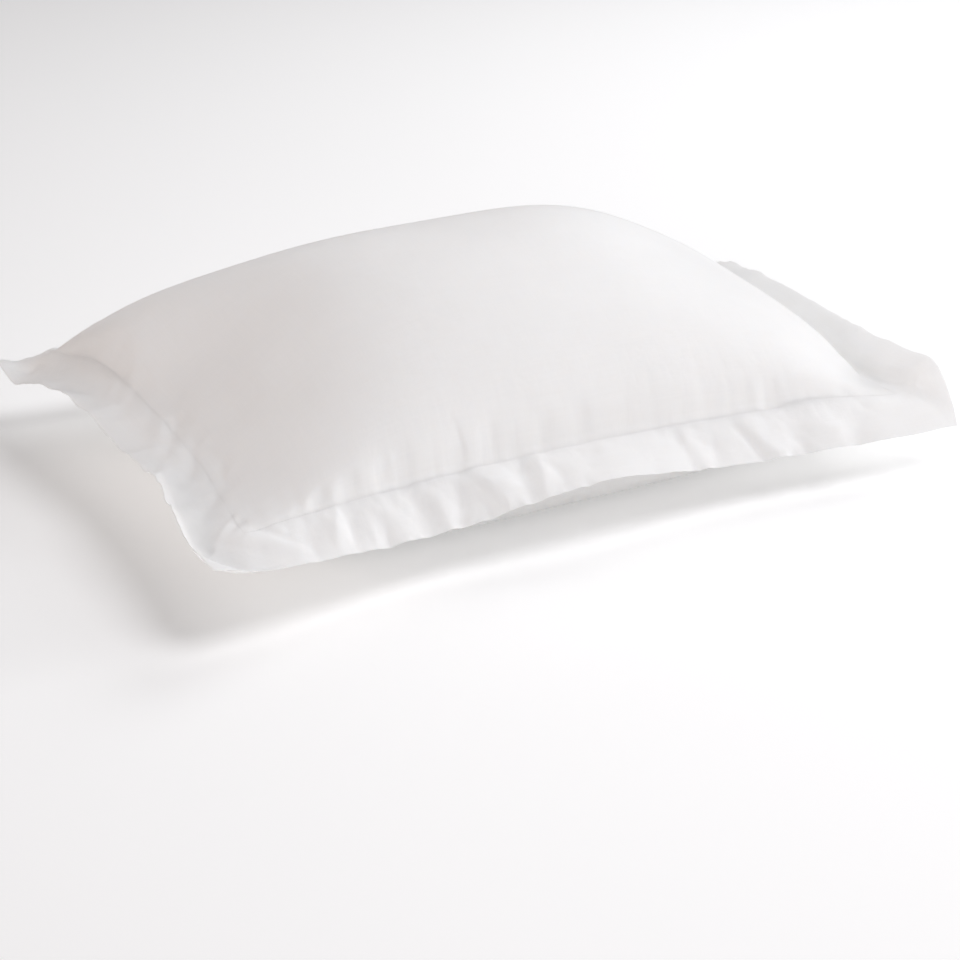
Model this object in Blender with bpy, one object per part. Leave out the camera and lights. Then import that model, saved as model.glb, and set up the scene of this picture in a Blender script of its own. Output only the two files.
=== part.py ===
"""Filled Oxford pillowcase, lying on its back.

One filled case of white cotton with its crown, drawn-in sides and flattened underside, and the
flat two-layer flange that runs all round it outside the stitch line.
Metres, +X along the long side, +Y to the back, +Z up; the underside rests on z = 0.
"""

import bpy
import numpy as np

# ---------------------------------------------------------------- driving sizes (metres)
FLANGE_WIDTH = 0.050  # stitch line to outer edge, on the flat cloth
SHEET = 0.0024  # the two layers of the flange together
PIECE_GAP = 0.0003  # between the case and the flange, at the stitch line

# The four corners of the pocket, at the stitch line.
POCKET_CORNERS = {
    #               x       y       z
    "front_left": (-0.345, -0.223, 0.079),
    "front_right": (0.327, -0.218, 0.070),
    "back_left": (-0.337, 0.224, 0.090),
    "back_right": (0.349, 0.218, 0.041),
}

# Each side of the pocket between its corners: how far its middle is drawn in by the filling,
# how far it is lifted, and how much the lift leans to the side's second corner.
SIDES = {
    #         first corner  second corner  outward   drawn in  lift    lean
    "front": ("front_left", "front_right", (0, -1), 0.021, 0.006, 0.001),
    "right": ("front_right", "back_right", (1, 0), 0.003, 0.007, 0.020),
    "back": ("back_left", "back_right", (0, 1), 0.025, 0.008, 0.009),
    "left": ("front_left", "back_left", (-1, 0), 0.022, 0.011, 0.014),
}

# The crown above the stitch line: peak height, how far the peak is off the middle (as a part of
# the half length), and the fullness of the shoulders towards the stitch line.
CROWN_HEIGHT = 0.121
PEAK_TO_RIGHT = -0.03
PEAK_TO_BACK = 0.07
LENGTHWISE = (2.4, 0.47)  # power of the dome, power of the shoulder
CROSSWISE = (2.3, 0.52)

# Broad unevenness of the filling under the cloth.
FILLING = {
    #               along   across  length  width   height
    "left_shoulder": (-0.55, 0.15, 0.30, 0.45, 0.008),
    "right_crown": (0.30, 0.20, 0.30, 0.45, 0.010),
    "right_end": (0.75, 0.00, 0.25, 0.55, -0.016),
    "rear_left": (-0.60, 0.70, 0.30, 0.30, -0.007),
    "rear_right": (0.60, 0.65, 0.25, 0.35, 0.009),
}

# The left end of the upper panel is a slack slope up to the crown: its length as a part of the
# half length, how tight its top bends, and from where to where across it gives way to the back.
LEFT_SLOPE = (0.52, 4.0, 0.10, 0.70)

# Slack corners of the pocket, which the filling doesn't reach: radius and how flat they lie.
SLACK_CORNERS = {
    "front_left": (0.055, 0.75),
    "front_right": (0.060, 0.85),
    "back_left": (0.030, 0.40),
    "back_right": (0.045, 0.60),
}

# The underside: the part that is pressed flat on the surface, and where it lies.
FLAT_REACH = 1.22
FLAT_TO_LEFT = 0.06
FLAT_TO_BACK = 0.05

# Slope of the flange below level at the stitch line, halfway and at its outer edge, in degrees,
# at places spaced evenly from the side's first corner to its second.
FLANGE_SLOPES = {
    "front": ((25, 44, 19, 38, 14), (16, 44, 22, 45, 35), (7, 43, 24, 52, 56)),
    "right": ((-31, -28, -25, -22, -11), (-30, -28, -26, -23, -11), (-30, -28, -26, -23, -11)),
    "back": ((5, 19, 32, 36, 34), (16, 25, 31, 31, 26), (27, 31, 30, 26, 18)),
    "left": ((-8, -19, 10, 19, 52), (-6, -10, 12, 6, 34), (-5, -2, 15, -7, 4)),
}

# Valleys that run along the two end flanges: depth at places from front to back, the valley's
# place and width as parts of the flange's width, and its place at the tip of the front corner.
VALLEYS = {
    #         depth                                    place width  at the tip
    "right": ((0.0115, 0.0105, 0.0090, 0.0060, 0.0010), 0.28, 0.30, 0.94),
    "left": ((0.0050, 0.0075, 0.0060, 0.0045, 0.0030), 0.52, 0.36, 0.52),
}

# How far the tip of each flange corner is turned up (or hangs, if negative).
CORNER_LIFT = {
    "front_left": 0.005,
    "front_right": -0.024,
    "back_left": 0.024,
    "back_right": -0.006,
}

# Main folds and waves of the flange. Place is -1 to 1 along the side; lean is how far the fold
# moves towards the second corner on its way out; depth is positive for a raised fold, and close
# to the stitch line it has the part "root" of it.
FLANGE_FOLDS = [
    # side,   place,  lean,   width,  depth,  root
    ("front", -0.34, 0.019, 0.011, 0.0035, 0.4),
    ("front", -0.28, 0.016, 0.014, -0.0030, 0.5),
    ("front", 0.46, 0.026, 0.009, -0.0045, 0.7),
    ("front", 0.53, 0.024, 0.012, 0.0025, 0.3),
    ("front", 0.64, 0.018, 0.009, -0.0025, 0.0),
    ("left", -0.62, -0.004, 0.012, -0.0035, 0.5),
    ("left", -0.45, 0.004, 0.012, 0.0030, 0.5),
    ("left", 0.05, 0.006, 0.014, -0.0030, 0.2),
    ("left", 0.80, -0.006, 0.018, -0.0040, 0.2),
    ("right", -0.30, 0.008, 0.014, 0.0035, 0.1),
    ("right", 0.25, -0.006, 0.012, -0.0035, 0.4),
    ("right", 0.62, 0.004, 0.020, 0.0060, 0.0),
    ("back", -0.70, 0.010, 0.016, 0.0045, 0.1),
    ("back", -0.38, -0.012, 0.013, -0.0040, 0.5),
    ("back", 0.06, 0.006, 0.024, 0.0060, 0.0),
    ("back", 0.33, 0.015, 0.012, -0.0035, 0.4),
    ("back", 0.72, -0.008, 0.018, 0.0050, 0.2),
]

# Mesh: cells along and across the pocket, along each side of the flange, and across the flange.
POCKET_CELLS = (46, 32)
FLANGE_CELLS = {"front": 72, "right": 34, "back": 56, "left": 46}
FLANGE_ROWS = 8


# ---------------------------------------------------------------- shape
def through(place, values):
    """A smooth curve through values spaced evenly over places -1 to 1."""
    values = np.asarray(values, float)
    slopes = np.gradient(values)
    along = (np.clip(place, -1, 1) + 1) / 2 * (len(values) - 1)
    cell = np.minimum(along.astype(int), len(values) - 2)
    s = along - cell
    start = values[cell] * (1 + 2 * s) + slopes[cell] * s
    end = values[cell + 1] * (3 - 2 * s) - slopes[cell + 1] * (1 - s)
    return start * (1 - s) ** 2 + end * s**2


def seam(side, place):
    """Points of the stitch line of one side of the pocket."""
    first, second, outward, drawn_in, lift, lean = SIDES[side]
    place = np.asarray(place, float)[..., None]
    straight = (1 - place) / 2 * POCKET_CORNERS[first] + (1 + place) / 2 * POCKET_CORNERS[second]
    bow = 1 - place**2
    inward = -drawn_in * np.array([*outward, 0.0])
    return straight + bow * inward + bow * (lift + lean * place) * np.array([0.0, 0.0, 1.0])


def middle(u, v):
    """The surface spanned by the four stitch lines, halfway between the two panels."""
    s, t = (1 + u[..., None]) / 2, (1 + v[..., None]) / 2
    corner = {name: np.array(point) for name, point in POCKET_CORNERS.items()}
    flat = (1 - t) * ((1 - s) * corner["front_left"] + s * corner["front_right"])
    flat = flat + t * ((1 - s) * corner["back_left"] + s * corner["back_right"])
    lengthwise = (1 - t) * seam("front", u) + t * seam("back", u)
    crosswise = (1 - s) * seam("left", v) + s * seam("right", v)
    return lengthwise + crosswise - flat


def ease(x):
    """0 below 0, 1 above 1, and smooth in between."""
    x = np.clip(x, 0, 1)
    return x * x * (3 - 2 * x)


def dome(place, shift, powers):
    """1 at the peak and 0 at both ends; shift moves the peak towards +1."""
    moved = place - shift * (1 - place**2)
    return np.clip(1 - np.abs(moved) ** powers[0], 0, None) ** powers[1]


def upper(u, v):
    """The upper panel of the pocket."""
    points = middle(u, v)
    lengthwise = dome(u, PEAK_TO_RIGHT, LENGTHWISE)
    length, tightness, starts, ends = LEFT_SLOPE
    rise = np.clip((1 + u) / length, 1e-9, None)
    slope = (rise**-tightness + 1) ** (-1 / tightness)
    slack = ease((ends - v) / (ends - starts)) * ease(-u / 0.45)
    crown = (lengthwise + slack * np.minimum(slope - lengthwise, 0)) * dome(v, PEAK_TO_BACK, CROSSWISE)
    uneven = 1.0
    for along, across, length, width, height in FILLING.values():
        far = ((u - along) / length) ** 2 + ((v - across) / width) ** 2
        uneven = uneven + height / CROWN_HEIGHT * np.exp(-far)
    for name, (radius, flatness) in SLACK_CORNERS.items():
        x = half_length("front") * (1 - u * (1 if "right" in name else -1))
        y = half_length("left") * (1 - v * (1 if "back" in name else -1))
        uneven = uneven * (1 - flatness * np.exp(-(x**2 + y**2) / radius**2))
    points[..., 2] += SHEET / 2 + CROWN_HEIGHT * crown * uneven
    return points


def lower(u, v):
    """The lower panel: rounded in from the stitch line, then flat on the surface."""
    points = middle(u, v)
    reach = dome(u, -FLAT_TO_LEFT, (2.4, 0.5)) * dome(v, FLAT_TO_BACK, (2.4, 0.5))
    lifted = np.clip(1 - FLAT_REACH * reach, 0, 1) ** 2
    points[..., 2] = (points[..., 2] - SHEET / 2) * lifted
    return points


def flange_reach(side, place, part):
    """Move from the stitch line to a part (0 to 1) of the flange's width: outward and up."""
    near, half, far = (np.radians(through(place, row))[..., None] for row in FLANGE_SLOPES[side])
    steps = part[..., None] * (np.arange(10) + 0.5) / 10
    angle = near + (4 * half - 3 * near - far) * steps + 2 * (near + far - 2 * half) * steps**2
    out = FLANGE_WIDTH * part * np.cos(angle).mean(-1)
    down = FLANGE_WIDTH * part * np.sin(angle).mean(-1)
    outward = np.array([*SIDES[side][2], 0.0])
    return out[..., None] * outward - down[..., None] * np.array([0.0, 0.0, 1.0])


def valley(side, place, past, past_front):
    """Move down into the valley of an end flange: past is the part of its width, and past_front
    how far round the front corner a point lies, as a part of the front flange's width."""
    depths, middle_of, width, at_tip = VALLEYS[side]
    middle_of = middle_of + (at_tip - middle_of) * past_front
    width = width * (1 - 0.8 * past_front)
    depth = through(place, depths) * (1 - 0.6 * past_front)
    depth = depth * np.exp(-(((past - middle_of) / width) ** 2)) * ease(past / (middle_of * 0.7))
    return -depth[..., None] * np.array([0.35 if side == "right" else 0.0, 0.0, 0.94])


def half_length(side):
    first, second = (np.array(POCKET_CORNERS[name]) for name in SIDES[side][:2])
    return float(np.linalg.norm(second - first)) / 2


NEXT_SIDE = {
    # side and end: the side met there, and the end of that side
    ("front", -1): ("left", -1),
    ("front", 1): ("right", -1),
    ("right", -1): ("front", 1),
    ("right", 1): ("back", 1),
    ("back", -1): ("left", 1),
    ("back", 1): ("right", 1),
    ("left", -1): ("front", -1),
    ("left", 1): ("back", -1),
}


def flange_strip(side, places, parts):
    """The flange of one side, mitred at both ends: points, fold depths, [place, part]."""
    half = half_length(side)
    place, part = np.meshgrid(places, parts, indexing="ij")
    place = place * (1 + part * FLANGE_WIDTH / half)
    inside = np.clip(place, -1, 1)
    points = seam(side, inside) + flange_reach(side, inside, part)
    points[..., :2] += PIECE_GAP * np.array(SIDES[side][2])
    if side in VALLEYS:
        past_front = np.clip(-place - 1, 0, None) * half / FLANGE_WIDTH
        points = points + valley(side, inside, part, past_front)
    for end in (-1, 1):
        past = np.clip(place * end - 1, 0, None) * half / FLANGE_WIDTH
        other, other_end = NEXT_SIDE[side, end]
        corner = SIDES[side][0 if end < 0 else 1]
        near_end = np.clip(place * end * 10 - 9, 0, 1)[..., None]
        points[..., :2] += PIECE_GAP * near_end * np.array(SIDES[other][2])
        points = points + flange_reach(other, np.full_like(place, other_end), past)
        points[..., 2] += CORNER_LIFT[corner] * past * part
        if other in VALLEYS:
            past_front = part * (side == "front")
            points = points + valley(other, np.full_like(place, other_end), past, past_front)
    depth = np.zeros_like(place)
    for fold_side, at, lean, width, height, root in FLANGE_FOLDS:
        if fold_side == side:
            away = ((place - at) * half - lean * part) / width
            grown = root * (1 - (1 - part) ** 4) + (1 - root) * part
            depth += height * grown * np.exp(-(away**2))
    return points, depth


def normals(points):
    """Upward unit normals of the closed ring of points, [along, out]."""
    along = np.roll(points, -1, 0) - np.roll(points, 1, 0)
    out = np.gradient(points, axis=1)
    normal = np.cross(out, along)
    return normal / np.linalg.norm(normal, axis=-1, keepdims=True)


def flange_ring():
    """Middle surface of the flange, once round: front, right, back, left."""
    parts = np.linspace(0, 1, FLANGE_ROWS + 1)
    rings, depths = [], []
    for side, turned in (("front", False), ("right", False), ("back", True), ("left", True)):
        places = np.linspace(-1, 1, FLANGE_CELLS[side] + 1)
        points, depth = flange_strip(side, places[::-1] if turned else places, parts)
        rings.append(points[:-1])
        depths.append(depth[:-1])
    points, depth = np.concatenate(rings), np.concatenate(depths)
    return points + normals(points) * depth[..., None]


# ---------------------------------------------------------------- solids
def make_solid(name, points, faces, cotton, colour):
    mesh = bpy.data.meshes.new(name)
    mesh.from_pydata([tuple(point) for point in points], [], faces)
    mesh.validate()
    material = bpy.data.materials.new(cotton)
    material.use_nodes = True
    shader = material.node_tree.nodes["Principled BSDF"]
    shader.inputs["Base Color"].default_value = colour
    shader.inputs["Roughness"].default_value = 0.85
    mesh.materials.append(material)
    solid = bpy.data.objects.new(name, mesh)
    bpy.context.scene.collection.objects.link(solid)
    return solid


def filled_case():
    """Upper and lower panels joined along the stitch line, as one filled solid."""
    columns, rows = POCKET_CELLS
    even = np.linspace(-1, 1, columns + 1), np.linspace(-1, 1, rows + 1)
    closer = [0.7 * place + 0.3 * np.sin(np.pi / 2 * place) for place in even]
    u, v = np.meshgrid(*closer, indexing="ij")
    top, bottom = upper(u, v).reshape(-1, 3), lower(u, v).reshape(-1, 3)
    index = np.arange((columns + 1) * (rows + 1)).reshape(columns + 1, rows + 1)
    cells = np.stack([index[:-1, :-1], index[1:, :-1], index[1:, 1:], index[:-1, 1:]], -1)
    cells = cells.reshape(-1, 4)
    rim = np.concatenate([index[:-1, 0], index[-1, :-1], index[:0:-1, -1], index[0, :0:-1]])
    after = np.roll(rim, -1)
    below = len(top)
    walls = np.stack([rim, rim + below, after + below, after], -1)
    faces = [*cells.tolist(), *(cells[:, ::-1] + below).tolist(), *walls.tolist()]
    return np.concatenate([top, bottom]), faces


def flange():
    """The flat border, two layers of cloth thick."""
    ring = flange_ring()
    normal = normals(ring)
    normal[:, 0] = (0.0, 0.0, 1.0)
    count, rows = ring.shape[:2]
    points = np.concatenate([ring + normal * SHEET / 2, ring - normal * SHEET / 2])
    index = np.arange(2 * count * rows).reshape(2, count, rows)
    top, bottom = index
    top_next, bottom_next = np.roll(index, -1, 1)
    faces = [
        (top[:, :-1], top[:, 1:], top_next[:, 1:], top_next[:, :-1]),
        (bottom[:, :-1], bottom_next[:, :-1], bottom_next[:, 1:], bottom[:, 1:]),
        (top[:, :1], top_next[:, :1], bottom_next[:, :1], bottom[:, :1]),
        (top[:, -1:], bottom[:, -1:], bottom_next[:, -1:], top_next[:, -1:]),
    ]
    faces = np.concatenate([np.stack(corners, -1).reshape(-1, 4) for corners in faces])
    return points.reshape(-1, 3), faces.tolist()


def build():
    for old in list(bpy.data.objects):
        bpy.data.objects.remove(old)
    solids = {"filled_case": filled_case(), "flange": flange()}
    every = np.concatenate([points for points, _ in solids.values()])
    centre = (every.max(0) + every.min(0)) / 2 * (1, 1, 0)
    make_solid("filled_case", solids["filled_case"][0] - centre, solids["filled_case"][1],
               "case_cotton", (0.87, 0.86, 0.85, 1.0))
    make_solid("flange", solids["flange"][0] - centre, solids["flange"][1],
               "flange_cotton", (0.89, 0.88, 0.87, 1.0))


if __name__ == "__main__":
    build()
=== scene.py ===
"""Looks of the filled Oxford pillowcase: its cotton skin, its sewing, floor, light and camera.

The skin is one closed cloth: an upper and a lower panel that meet in the stitch line, and run on
outside it as the two layers of the flange, up to its turned outer edge. It is laid out on the flat
cloth, brought to the filled shape of the CAD solids, wrinkled by a cloth simulation and then
pressed, folded and puckered.
"""

import math

import bpy
import numpy as np
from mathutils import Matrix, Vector

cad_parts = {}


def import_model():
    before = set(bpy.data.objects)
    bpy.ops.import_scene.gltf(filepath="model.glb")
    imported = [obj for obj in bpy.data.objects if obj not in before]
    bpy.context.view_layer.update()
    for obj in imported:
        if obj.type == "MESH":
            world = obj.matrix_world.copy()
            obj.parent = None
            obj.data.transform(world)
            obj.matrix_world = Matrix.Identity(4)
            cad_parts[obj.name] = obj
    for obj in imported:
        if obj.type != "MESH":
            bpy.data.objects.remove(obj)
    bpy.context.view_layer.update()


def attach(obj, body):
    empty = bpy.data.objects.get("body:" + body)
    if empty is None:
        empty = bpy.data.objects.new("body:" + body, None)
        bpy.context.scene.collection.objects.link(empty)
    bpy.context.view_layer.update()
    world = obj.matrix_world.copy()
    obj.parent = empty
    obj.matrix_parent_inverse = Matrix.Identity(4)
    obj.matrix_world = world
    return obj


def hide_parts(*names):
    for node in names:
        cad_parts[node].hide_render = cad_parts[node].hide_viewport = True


# ---------------------------------------------------------------- the CAD shape, in metres
FLANGE_WIDTH = 0.050
POCKET_CORNERS = {
    "front_left": (-0.345, -0.223, 0.079),
    "front_right": (0.327, -0.218, 0.070),
    "back_left": (-0.337, 0.224, 0.090),
    "back_right": (0.349, 0.218, 0.041),
}
SIDES = {
    #         first corner  second corner  outward   drawn in  lift    lean
    "front": ("front_left", "front_right", (0, -1), 0.021, 0.006, 0.001),
    "right": ("front_right", "back_right", (1, 0), 0.003, 0.007, 0.020),
    "back": ("back_left", "back_right", (0, 1), 0.025, 0.008, 0.009),
    "left": ("front_left", "back_left", (-1, 0), 0.022, 0.011, 0.014),
}
# The crown over the middle surface: its height, the shift of its peak and its outlines' powers.
CROWN_HEIGHT = 0.121
PEAK_TO_RIGHT = -0.03
PEAK_TO_BACK = 0.07
LENGTHWISE = (2.4, 0.47)
CROSSWISE = (2.3, 0.52)
FILLING = {
    #               along   across  length  width   height
    "left_shoulder": (-0.55, 0.15, 0.30, 0.45, 0.008),
    "right_crown": (0.30, 0.20, 0.30, 0.45, 0.010),
    "right_end": (0.75, 0.00, 0.25, 0.55, -0.016),
    "rear_left": (-0.60, 0.70, 0.30, 0.30, -0.007),
    "rear_right": (0.60, 0.65, 0.25, 0.35, 0.009),
}
# The left end of the upper panel is a slack slope that runs up to the crown: its length as a part
# of the half length, how round its top is, where across the pillowcase it gives way to the plump
# back, and how far left of the middle it is whole.
LEFT_SLOPE = (0.52, 4.0, 0.10, 0.70, 0.45)
# Slack corners of the pocket, where no filling reaches: radius as flat cloth and how flat.
SLACK_CORNERS = {
    "front_left": (0.055, 0.75),
    "front_right": (0.060, 0.85),
    "back_left": (0.030, 0.40),
    "back_right": (0.045, 0.60),
}
# The flat middle of the underside: its reach, its shift and the powers of its outlines.
FLAT_REACH = 1.22
FLAT_TO_LEFT = 0.06
FLAT_TO_BACK = 0.05
FLAT_POWERS = (2.4, 0.5)
# Slope of the flange below level at the stitch line, halfway and at the outer edge, in degrees.
FLANGE_SLOPES = {
    "front": ((25, 44, 19, 38, 14), (16, 44, 22, 45, 35), (7, 43, 24, 52, 56)),
    "right": ((-31, -28, -25, -22, -11), (-30, -28, -26, -23, -11), (-30, -28, -26, -23, -11)),
    "back": ((5, 19, 32, 36, 34), (16, 25, 31, 31, 26), (27, 31, 30, 26, 18)),
    "left": ((-8, -19, 10, 19, 52), (-6, -10, 12, 6, 34), (-5, -2, 15, -7, 4)),
}
# Valleys that run along the two end flanges: depth at places from front to back, the valley's
# place and width as parts of the flange's width, and its place at the tip of the front corner.
VALLEYS = {
    #         depth                                    place width  at the tip
    "right": ((0.0115, 0.0105, 0.0090, 0.0060, 0.0010), 0.28, 0.30, 0.94),
    "left": ((0.0050, 0.0075, 0.0060, 0.0045, 0.0030), 0.52, 0.36, 0.52),
}
VALLEY_TIP = (0.8, 0.6)  # how much narrower and shallower a valley is at the tip
VALLEY_START = 0.7  # the part of its place at which a valley is whole
VALLEY_WAY = {"right": (0.35, 0, 0.94), "left": (0, 0, 0.94)}  # out of the valley
ARC_STEPS = 10  # of a flange's curve
CORNER_LIFT = {
    "front_left": 0.005,
    "front_right": -0.024,
    "back_left": 0.024,
    "back_right": -0.006,
}
CAD_CENTRE = (0.0016, 0.0007)  # middle of the CAD box in the coordinates above

# ---------------------------------------------------------------- cloth, in metres
HALF_LENGTH = 0.336  # the pocket on the flat map, stitch line to middle
HALF_WIDTH = 0.2235
CLOTH_OVER_MAP = (1.13, 1.16)  # the flat cloth's size over the map's
LOWER_CLOTH = (0.3, 0.7, 0)  # where the lower sheet lies on the flat cloth, from the upper one
# Pitch of the cloth's lines at places from the pocket's middle, all in millimetres.
ALONG_PITCH = ((-336, 2.0), (-40, 2.3), (30, 3.9), (100, 2.6), (200, 2.6), (260, 4.0), (336, 2.9))
ACROSS_PITCH = ((-223.5, 1.8), (-195, 2.6), (-140, 4.9), (160, 5.2), (200, 3.8), (223.5, 2.8))
PITCH_SAMPLES = 2001  # from which the lines' places are counted off
FLANGE_LINES = 20
ON_SEAM = 0.0001  # a line nearer to the stitch line than this lies on it

# Evening out of the flange's slopes: the length over which it sets in outside the stitches, and its
# rounds for the sheet that is simulated and for the finer one that is seen.
EVEN_REACH = 0.006
EVEN_ROUNDS = (12, 60)
# Slack cloth that runs smoothly from the pocket into the flange: how near the seam, and from which
# part of the half seam over what length, towards the left or front where that is negative.
SLACK_SEAMS = {
    "left": (0.016, 0.85, -0.3),
    "front": (0.012, 0.62, 0.2),
    "right": (0.012, -0.1, -0.4),
}
SHOULDER_REACH = 0.009  # the upper panel rises softly from its stitches over this length
SHOULDER_ROUNDS = 14
SHARED_REACH = 0.016  # both sheets move together on the flange, less and less to this far inside
CREASE_REACH = 0.005  # a crease of the case is in the upper sheet alone from this far inside
UNDERSIDE_FREE = 0.004  # the underside lies flat on the floor, and moves freely at this height
# Half the distance between the flange's two layers. Its part at the stitches and what opening adds,
# over what length they open, and where and over what length they close at the outer edge.
LAYER_GAP = 0.00045
LAYER_PARTS = (0.5, 1.1)
LAYERS_OPEN = 0.010
LAYERS_CLOSE = (0.052, 0.012)
EDGE_OUT = 0.0006  # the turned edge stands out this far

CLOTH_CELLS = (110, 74)  # of the simulated sheet's pocket
CLOTH_FLANGE_CELLS = 8
# Spare length of the cloth as a part of its length, and how far it reaches into the pocket.
CLOTH_SPARE = {
    "front": (0.009, 0.007),
    "right": (0.006, 0.030),
    "back": (0.036, 0.045),
    "left": (0.009, 0.040),
}
SPARE_MIX = 0.03  # how far from a side its spare length counts
# How firmly the cloth is held on the flange, how much more by the filling and from what depth, and
# how much more by the stitches and how near them.
CLOTH_HOLD = (0.2, 2, 0.08, 3, 0.004)
CLOTH_START = (5, 0.0003)  # seed and size of the unevenness it starts with
CLOTH_FRAMES = 18
CLOTH_CAP = 0.006  # the farthest that a point may move
SEAM_HOLD = (0.7, 0.007)  # how much the stitches flatten the wrinkles, and how near

# Small gathers across the stitch line: seed, spacing and height of the fine and the broad ones.
PUCKERS = ((11, 0.009, 0.00035), (31, 0.024, 0.0007))
PUCKER_REACH = (0.012, 0.016)  # into the flange and into the pocket
PUCKER_HOLD = (0.6, 0.002)  # how much the stitches flatten them, and how near
PUCKER_END = (0.01, 0.03)  # they end this far past the corner, and fade over this length
NOISE_MARGIN = 3  # spare knots at each end of a random curve

STITCH = (0.0028, 0.0021, 0.00022)  # pitch, length and radius of a stitch
STITCH_PLACE = 0.0012  # outside the pocket's edge
STITCH_SIDES = 6
# Rings of a stitch: place from end to end and thickness, as parts of its half length and radius.
STITCH_RINGS = ((-1.0, 0.25), (-0.75, 0.8), (0.0, 1.0), (0.75, 0.8), (1.0, 0.25))
STITCH_ARCH = (0.75, 1.3)  # its height over the cloth and how far its ends dive in, in radii


def through(place, values):
    """A smooth curve through values spaced evenly over places -1 to 1."""
    values = np.asarray(values, float)
    slopes = np.gradient(values)
    along = (np.clip(place, -1, 1) + 1) / 2 * (len(values) - 1)
    cell = np.minimum(along.astype(int), len(values) - 2)
    s = along - cell
    start = values[cell] * (1 + 2 * s) + slopes[cell] * s
    end = values[cell + 1] * (3 - 2 * s) - slopes[cell + 1] * (1 - s)
    return start * (1 - s) ** 2 + end * s**2


def seam(side, place):
    """Points of the stitch line of one side of the pocket."""
    first, second, outward, drawn_in, lift, lean = SIDES[side]
    place = np.asarray(place, float)[..., None]
    straight = (1 - place) / 2 * POCKET_CORNERS[first] + (1 + place) / 2 * POCKET_CORNERS[second]
    bow = 1 - place**2
    inward = -drawn_in * np.array([*outward, 0.0])
    return straight + bow * inward + bow * (lift + lean * place) * np.array([0.0, 0.0, 1.0])


def middle(u, v):
    """The surface spanned by the four stitch lines, halfway between the two panels."""
    s, t = (1 + u[..., None]) / 2, (1 + v[..., None]) / 2
    corner = {name: np.array(point) for name, point in POCKET_CORNERS.items()}
    flat = (1 - t) * ((1 - s) * corner["front_left"] + s * corner["front_right"])
    flat = flat + t * ((1 - s) * corner["back_left"] + s * corner["back_right"])
    lengthwise = (1 - t) * seam("front", u) + t * seam("back", u)
    crosswise = (1 - s) * seam("left", v) + s * seam("right", v)
    return lengthwise + crosswise - flat


def ease(x):
    """0 below 0, 1 above 1, and smooth in between."""
    x = np.clip(x, 0, 1)
    return x * x * (3 - 2 * x)


def dome(place, shift, powers):
    """1 at the peak and 0 at both ends; shift moves the peak towards +1."""
    moved = place - shift * (1 - place**2)
    return np.clip(1 - np.abs(moved) ** powers[0], 0, None) ** powers[1]


def crown(u, v):
    """Height of the upper panel over the middle surface."""
    uneven = 1.0
    for along, across, length, width, height in FILLING.values():
        far = ((u - along) / length) ** 2 + ((v - across) / width) ** 2
        uneven = uneven + height / CROWN_HEIGHT * np.exp(-far)
    lengthwise = dome(u, PEAK_TO_RIGHT, LENGTHWISE)
    length, roundness, starts, ends, whole = LEFT_SLOPE
    rise = np.clip((1 + u) / length, 1e-9, None)
    slope = (rise**-roundness + 1) ** (-1 / roundness)
    slack = ease((ends - v) / (ends - starts)) * ease(-u / whole)
    lengthwise = lengthwise + slack * np.minimum(slope - lengthwise, 0)
    for name, (radius, flatness) in SLACK_CORNERS.items():
        x = HALF_LENGTH * (1 - u * (1 if "right" in name else -1))
        y = HALF_WIDTH * (1 - v * (1 if "back" in name else -1))
        uneven = uneven * (1 - flatness * np.exp(-(x**2 + y**2) / radius**2))
    return CROWN_HEIGHT * lengthwise * dome(v, PEAK_TO_BACK, CROSSWISE) * uneven


def pressed(u, v):
    """Part of the middle surface's height that the lower panel keeps: 0 where it lies flat."""
    reach = dome(u, -FLAT_TO_LEFT, FLAT_POWERS) * dome(v, FLAT_TO_BACK, FLAT_POWERS)
    return np.clip(1 - FLAT_REACH * reach, 0, 1) ** 2


def flange_reach(side, place, part):
    """Move from the stitch line to a part (0 to 1) of the flange's width: outward and up."""
    near, half, far = (np.radians(through(place, row))[..., None] for row in FLANGE_SLOPES[side])
    steps = part[..., None] * (np.arange(ARC_STEPS) + 0.5) / ARC_STEPS
    angle = near + (4 * half - 3 * near - far) * steps + 2 * (near + far - 2 * half) * steps**2
    out = FLANGE_WIDTH * part * np.cos(angle).mean(-1)
    down = FLANGE_WIDTH * part * np.sin(angle).mean(-1)
    outward = np.array([*SIDES[side][2], 0.0])
    return out[..., None] * outward - down[..., None] * np.array([0.0, 0.0, 1.0])


def valley(side, v, past_x, past_front):
    """Depth of an end flange's valley, from front to back and round the front corner."""
    depths, place, width, at_tip = VALLEYS[side]
    narrower, shallower = VALLEY_TIP
    place = place + (at_tip - place) * past_front
    width = width * (1 - narrower * past_front)
    depth = through(v, depths) * (1 - shallower * past_front)
    start = ease(past_x / (place * VALLEY_START))
    return depth * np.exp(-(((past_x - place) / width) ** 2)) * start


def with_flange(pocket, half, cells):
    """Lines of the pocket with even cells of the flange added at both ends."""
    border = FLANGE_WIDTH * np.linspace(0, 1, cells + 1)[1:]
    return np.concatenate([-half - border[::-1], pocket, half + border])


def lines(half, pitches, flange_lines):
    """Places of the cloth's lines on the flat map, at the pitches given from front or left."""
    places, pitch = np.array(pitches, float).T / 1000
    fine = np.linspace(-half, half, PITCH_SAMPLES)
    count = np.cumsum((fine[1] - fine[0]) / np.interp(fine, places, pitch))
    count -= count[0]
    pocket = np.interp(np.linspace(0, count[-1], round(count[-1]) + 1), count, fine)
    return with_flange(pocket, half, flange_lines)


def in_pocket(a, b):
    """Places -1 to 1 along and across the pocket; the flange has those of the seam beside it."""
    return np.clip(a / HALF_LENGTH, -1, 1), np.clip(b / HALF_WIDTH, -1, 1)


def outside(a, b):
    """How far outside the stitch line places on the flat map lie; negative in the pocket."""
    return np.maximum(np.abs(a) - HALF_LENGTH, np.abs(b) - HALF_WIDTH)


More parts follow.
